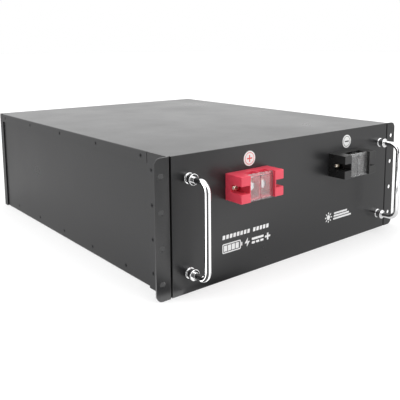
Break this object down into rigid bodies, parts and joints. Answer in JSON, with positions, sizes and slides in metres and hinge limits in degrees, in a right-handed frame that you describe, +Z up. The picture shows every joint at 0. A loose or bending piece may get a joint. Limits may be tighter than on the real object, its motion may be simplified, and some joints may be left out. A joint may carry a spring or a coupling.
{
  "type": "server rack battery",
  "caption": "Black 19-inch four-unit rack battery case with slotted ears, chrome pull handles and red and black terminal blocks under clear flip-up covers.",
  "frame": {"origin": "centre of the overall box in plan, on the plane of the case's underside", "axes": "+Z up; the front panel with handles and terminals faces -Y; +X to the right as seen from the front"},
  "size_m": [0.4826, 0.604, 0.177],
  "materials": {
    "black_powder_coat": "satin black fine-texture powder coat",
    "handle_chrome": "polished",
    "black_screws": "black zinc, satin",
    "zinc_steel": "bright zinc plate",
    "plated_screws": "bright nickel plate",
    "red_plastic": "semi-gloss moulded",
    "black_plastic": "semi-gloss moulded",
    "clear_plastic": "clear polycarbonate",
    "copper": "bare copper",
    "tinned_copper": "tin plate, satin",
    "label_film": "printed vinyl, matt",
    "cell_casing": "blue insulating film over aluminium",
    "insulation_board": "glass-epoxy sheet",
    "bare_aluminium": "mill finish",
    "circuit_board": "solder mask",
    "fuse_moulding": "moulded",
    "red_cable": "silicone jacket",
    "black_cable": "silicone jacket",
    "harness_sleeve": "braided sleeve"
  },
  "bodies": {
    "chassis": {"chassis_tray": "black_powder_coat", "top_cover": "black_powder_coat", "rear_panel": "black_powder_coat", "front_panel": "black_powder_coat", "rack_ear_left": "black_powder_coat", "rack_ear_right": "black_powder_coat", "handle_left": "handle_chrome", "handle_right": "handle_chrome", "handle_ferrules": "handle_chrome", "cover_screws": "black_screws", "ear_screws": "black_screws", "side_screws": "black_screws", "rear_panel_screws": "black_screws", "handle_screws": "zinc_steel", "terminal_bolts": "zinc_steel", "terminal_washers": "zinc_steel", "terminal_spring_washers": "zinc_steel", "terminal_mounting_nuts": "zinc_steel", "link_nuts": "zinc_steel", "lug_fasteners": "zinc_steel", "pack_rails": "zinc_steel", "compression_bands": "zinc_steel", "terminal_mounting_screws": "plated_screws", "positive_terminal_body": "red_plastic", "negative_terminal_body": "black_plastic", "positive_terminal_bar": "copper", "negative_terminal_bar": "copper", "cell_links": "copper", "cable_lugs": "tinned_copper", "positive_label": "label_film", "negative_label": "label_film", "cell_01": "cell_casing", "cell_02": "cell_casing", "cell_03": "cell_casing", "cell_04": "cell_casing", "cell_05": "cell_casing", "cell_06": "cell_casing", "cell_07": "cell_casing", "cell_08": "cell_casing", "cell_09": "cell_casing", "cell_10": "cell_casing", "cell_11": "cell_casing", "cell_12": "cell_casing", "cell_13": "cell_casing", "cell_14": "cell_casing", "cell_15": "cell_casing", "cell_16": "cell_casing", "cell_separators": "insulation_board", "pack_base_insulator": "insulation_board", "pack_top_insulator": "insulation_board", "end_plates": "bare_aluminium", "bms_heatsink_plate": "bare_aluminium", "bms_board": "circuit_board", "fuse_holder": "fuse_moulding", "main_fuse": "fuse_moulding", "positive_cables": "red_cable", "negative_cables": "black_cable", "balance_harness": "harness_sleeve"},
    "positive_cover": {"positive_terminal_cover": "clear_plastic"},
    "negative_cover": {"negative_terminal_cover": "clear_plastic"}
  },
  "joints": [
    {"name": "positive_cover_hinge", "type": "hinge", "parent": "chassis", "child": "positive_cover", "pos_m": [-0.096, -0.2822, 0.1415], "axis": [-1, 0, 0], "range_deg": [0, 110]},
    {"name": "negative_cover_hinge", "type": "hinge", "parent": "chassis", "child": "negative_cover", "pos_m": [0.1085, -0.2822, 0.1415], "axis": [-1, 0, 0], "range_deg": [0, 110]}
  ]
}
